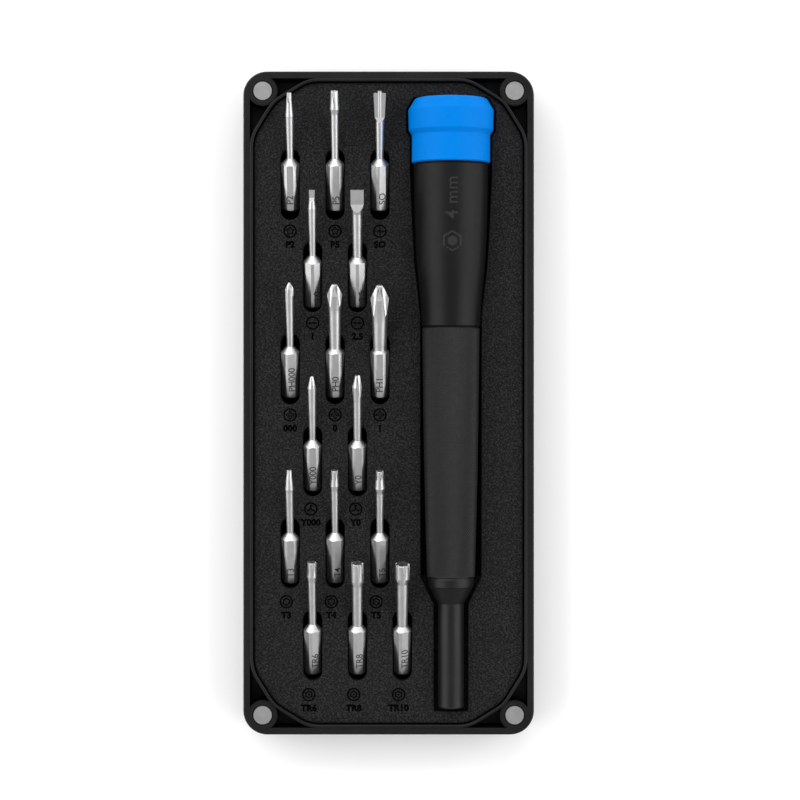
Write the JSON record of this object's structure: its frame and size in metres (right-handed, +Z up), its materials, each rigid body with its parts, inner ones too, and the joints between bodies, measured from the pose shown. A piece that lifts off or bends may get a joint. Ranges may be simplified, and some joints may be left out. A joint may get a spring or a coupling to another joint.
{
  "type": "precision screwdriver set",
  "caption": "Open case base with a foam insert holding tilted hex bits of mixed drives, and a slim knurled driver with a free-turning blue cap.",
  "frame": {"origin": "centre of the underside of the case base", "axes": "+X across the case, +Y along the case towards the driver's cap, +Z up out of the open case"},
  "size_m": [0.0658, 0.15, 0.0216],
  "materials": {
    "case": "satin, fine moulded grain",
    "foam": "matte closed-cell foam",
    "backing_foam": "matte closed-cell foam",
    "magnet": "satin nickel",
    "black_anodised": "bead-blasted, black anodised",
    "black_grip": "diamond knurled, black anodised",
    "dark_ring": "matte",
    "blue_anodised": "satin blue anodised",
    "steel": "ground",
    "bit_steel": "satin nickel-plated"
  },
  "bodies": {
    "case": {"case_base": "case", "foam_backing": "backing_foam", "foam_insert": "foam", "foam_end_strip": "foam", "magnet_top_left": "magnet", "magnet_top_right": "magnet", "magnet_bottom_left": "magnet", "magnet_bottom_right": "magnet"},
    "driver": {"handle_body": "black_anodised", "grip_washer": "dark_ring", "grip_sleeve": "black_grip", "grip_collar": "black_anodised", "drive_shaft": "black_anodised", "socket_magnet": "magnet", "bearing_inner_ring": "steel", "bearing_balls": "steel", "bearing_screw": "steel"},
    "cap": {"swivel_cap": "blue_anodised", "cap_end_disc": "blue_anodised", "bearing_outer_ring": "steel"},
    "p2_bit": {"bit_p2": "bit_steel"},
    "p5_bit": {"bit_p5": "bit_steel"},
    "so_bit": {"bit_so": "bit_steel"},
    "slot_1_bit": {"bit_slot_1": "bit_steel"},
    "slot_2_5_bit": {"bit_slot_2_5": "bit_steel"},
    "ph000_bit": {"bit_ph000": "bit_steel"},
    "ph0_bit": {"bit_ph0": "bit_steel"},
    "ph1_bit": {"bit_ph1": "bit_steel"},
    "y000_bit": {"bit_y000": "bit_steel"},
    "y0_bit": {"bit_y0": "bit_steel"},
    "t3_bit": {"bit_t3": "bit_steel"},
    "t4_bit": {"bit_t4": "bit_steel"},
    "t5_bit": {"bit_t5": "bit_steel"},
    "tr6_bit": {"bit_tr6": "bit_steel"},
    "tr8_bit": {"bit_tr8": "bit_steel"},
    "tr10_bit": {"bit_tr10": "bit_steel"}
  },
  "joints": [
    {"name": "driver_lift", "type": "slide", "parent": "case", "child": "driver", "axis": [0, 0, 1], "range_m": [0, 0.035]},
    {"name": "cap_spin", "type": "hinge", "parent": "driver", "child": "cap", "pos_m": [0.0141, 0.0606, 0.0119], "axis": [0, 1, 0], "continuous": true},
    {"name": "p2_lift", "type": "slide", "parent": "case", "child": "p2_bit", "axis": [0, 0, 1], "range_m": [0, 0.03]},
    {"name": "p5_lift", "type": "slide", "parent": "case", "child": "p5_bit", "axis": [0, 0, 1], "range_m": [0, 0.03]},
    {"name": "so_lift", "type": "slide", "parent": "case", "child": "so_bit", "axis": [0, 0, 1], "range_m": [0, 0.03]},
    {"name": "slot_1_lift", "type": "slide", "parent": "case", "child": "slot_1_bit", "axis": [0, 0, 1], "range_m": [0, 0.03]},
    {"name": "slot_2_5_lift", "type": "slide", "parent": "case", "child": "slot_2_5_bit", "axis": [0, 0, 1], "range_m": [0, 0.03]},
    {"name": "ph000_lift", "type": "slide", "parent": "case", "child": "ph000_bit", "axis": [0, 0, 1], "range_m": [0, 0.03]},
    {"name": "ph0_lift", "type": "slide", "parent": "case", "child": "ph0_bit", "axis": [0, 0, 1], "range_m": [0, 0.03]},
    {"name": "ph1_lift", "type": "slide", "parent": "case", "child": "ph1_bit", "axis": [0, 0, 1], "range_m": [0, 0.03]},
    {"name": "y000_lift", "type": "slide", "parent": "case", "child": "y000_bit", "axis": [0, 0, 1], "range_m": [0, 0.03]},
    {"name": "y0_lift", "type": "slide", "parent": "case", "child": "y0_bit", "axis": [0, 0, 1], "range_m": [0, 0.03]},
    {"name": "t3_lift", "type": "slide", "parent": "case", "child": "t3_bit", "axis": [0, 0, 1], "range_m": [0, 0.03]},
    {"name": "t4_lift", "type": "slide", "parent": "case", "child": "t4_bit", "axis": [0, 0, 1], "range_m": [0, 0.03]},
    {"name": "t5_lift", "type": "slide", "parent": "case", "child": "t5_bit", "axis": [0, 0, 1], "range_m": [0, 0.03]},
    {"name": "tr6_lift", "type": "slide", "parent": "case", "child": "tr6_bit", "axis": [0, 0, 1], "range_m": [0, 0.03]},
    {"name": "tr8_lift", "type": "slide", "parent": "case", "child": "tr8_bit", "axis": [0, 0, 1], "range_m": [0, 0.03]},
    {"name": "tr10_lift", "type": "slide", "parent": "case", "child": "tr10_bit", "axis": [0, 0, 1], "range_m": [0, 0.03]}
  ]
}
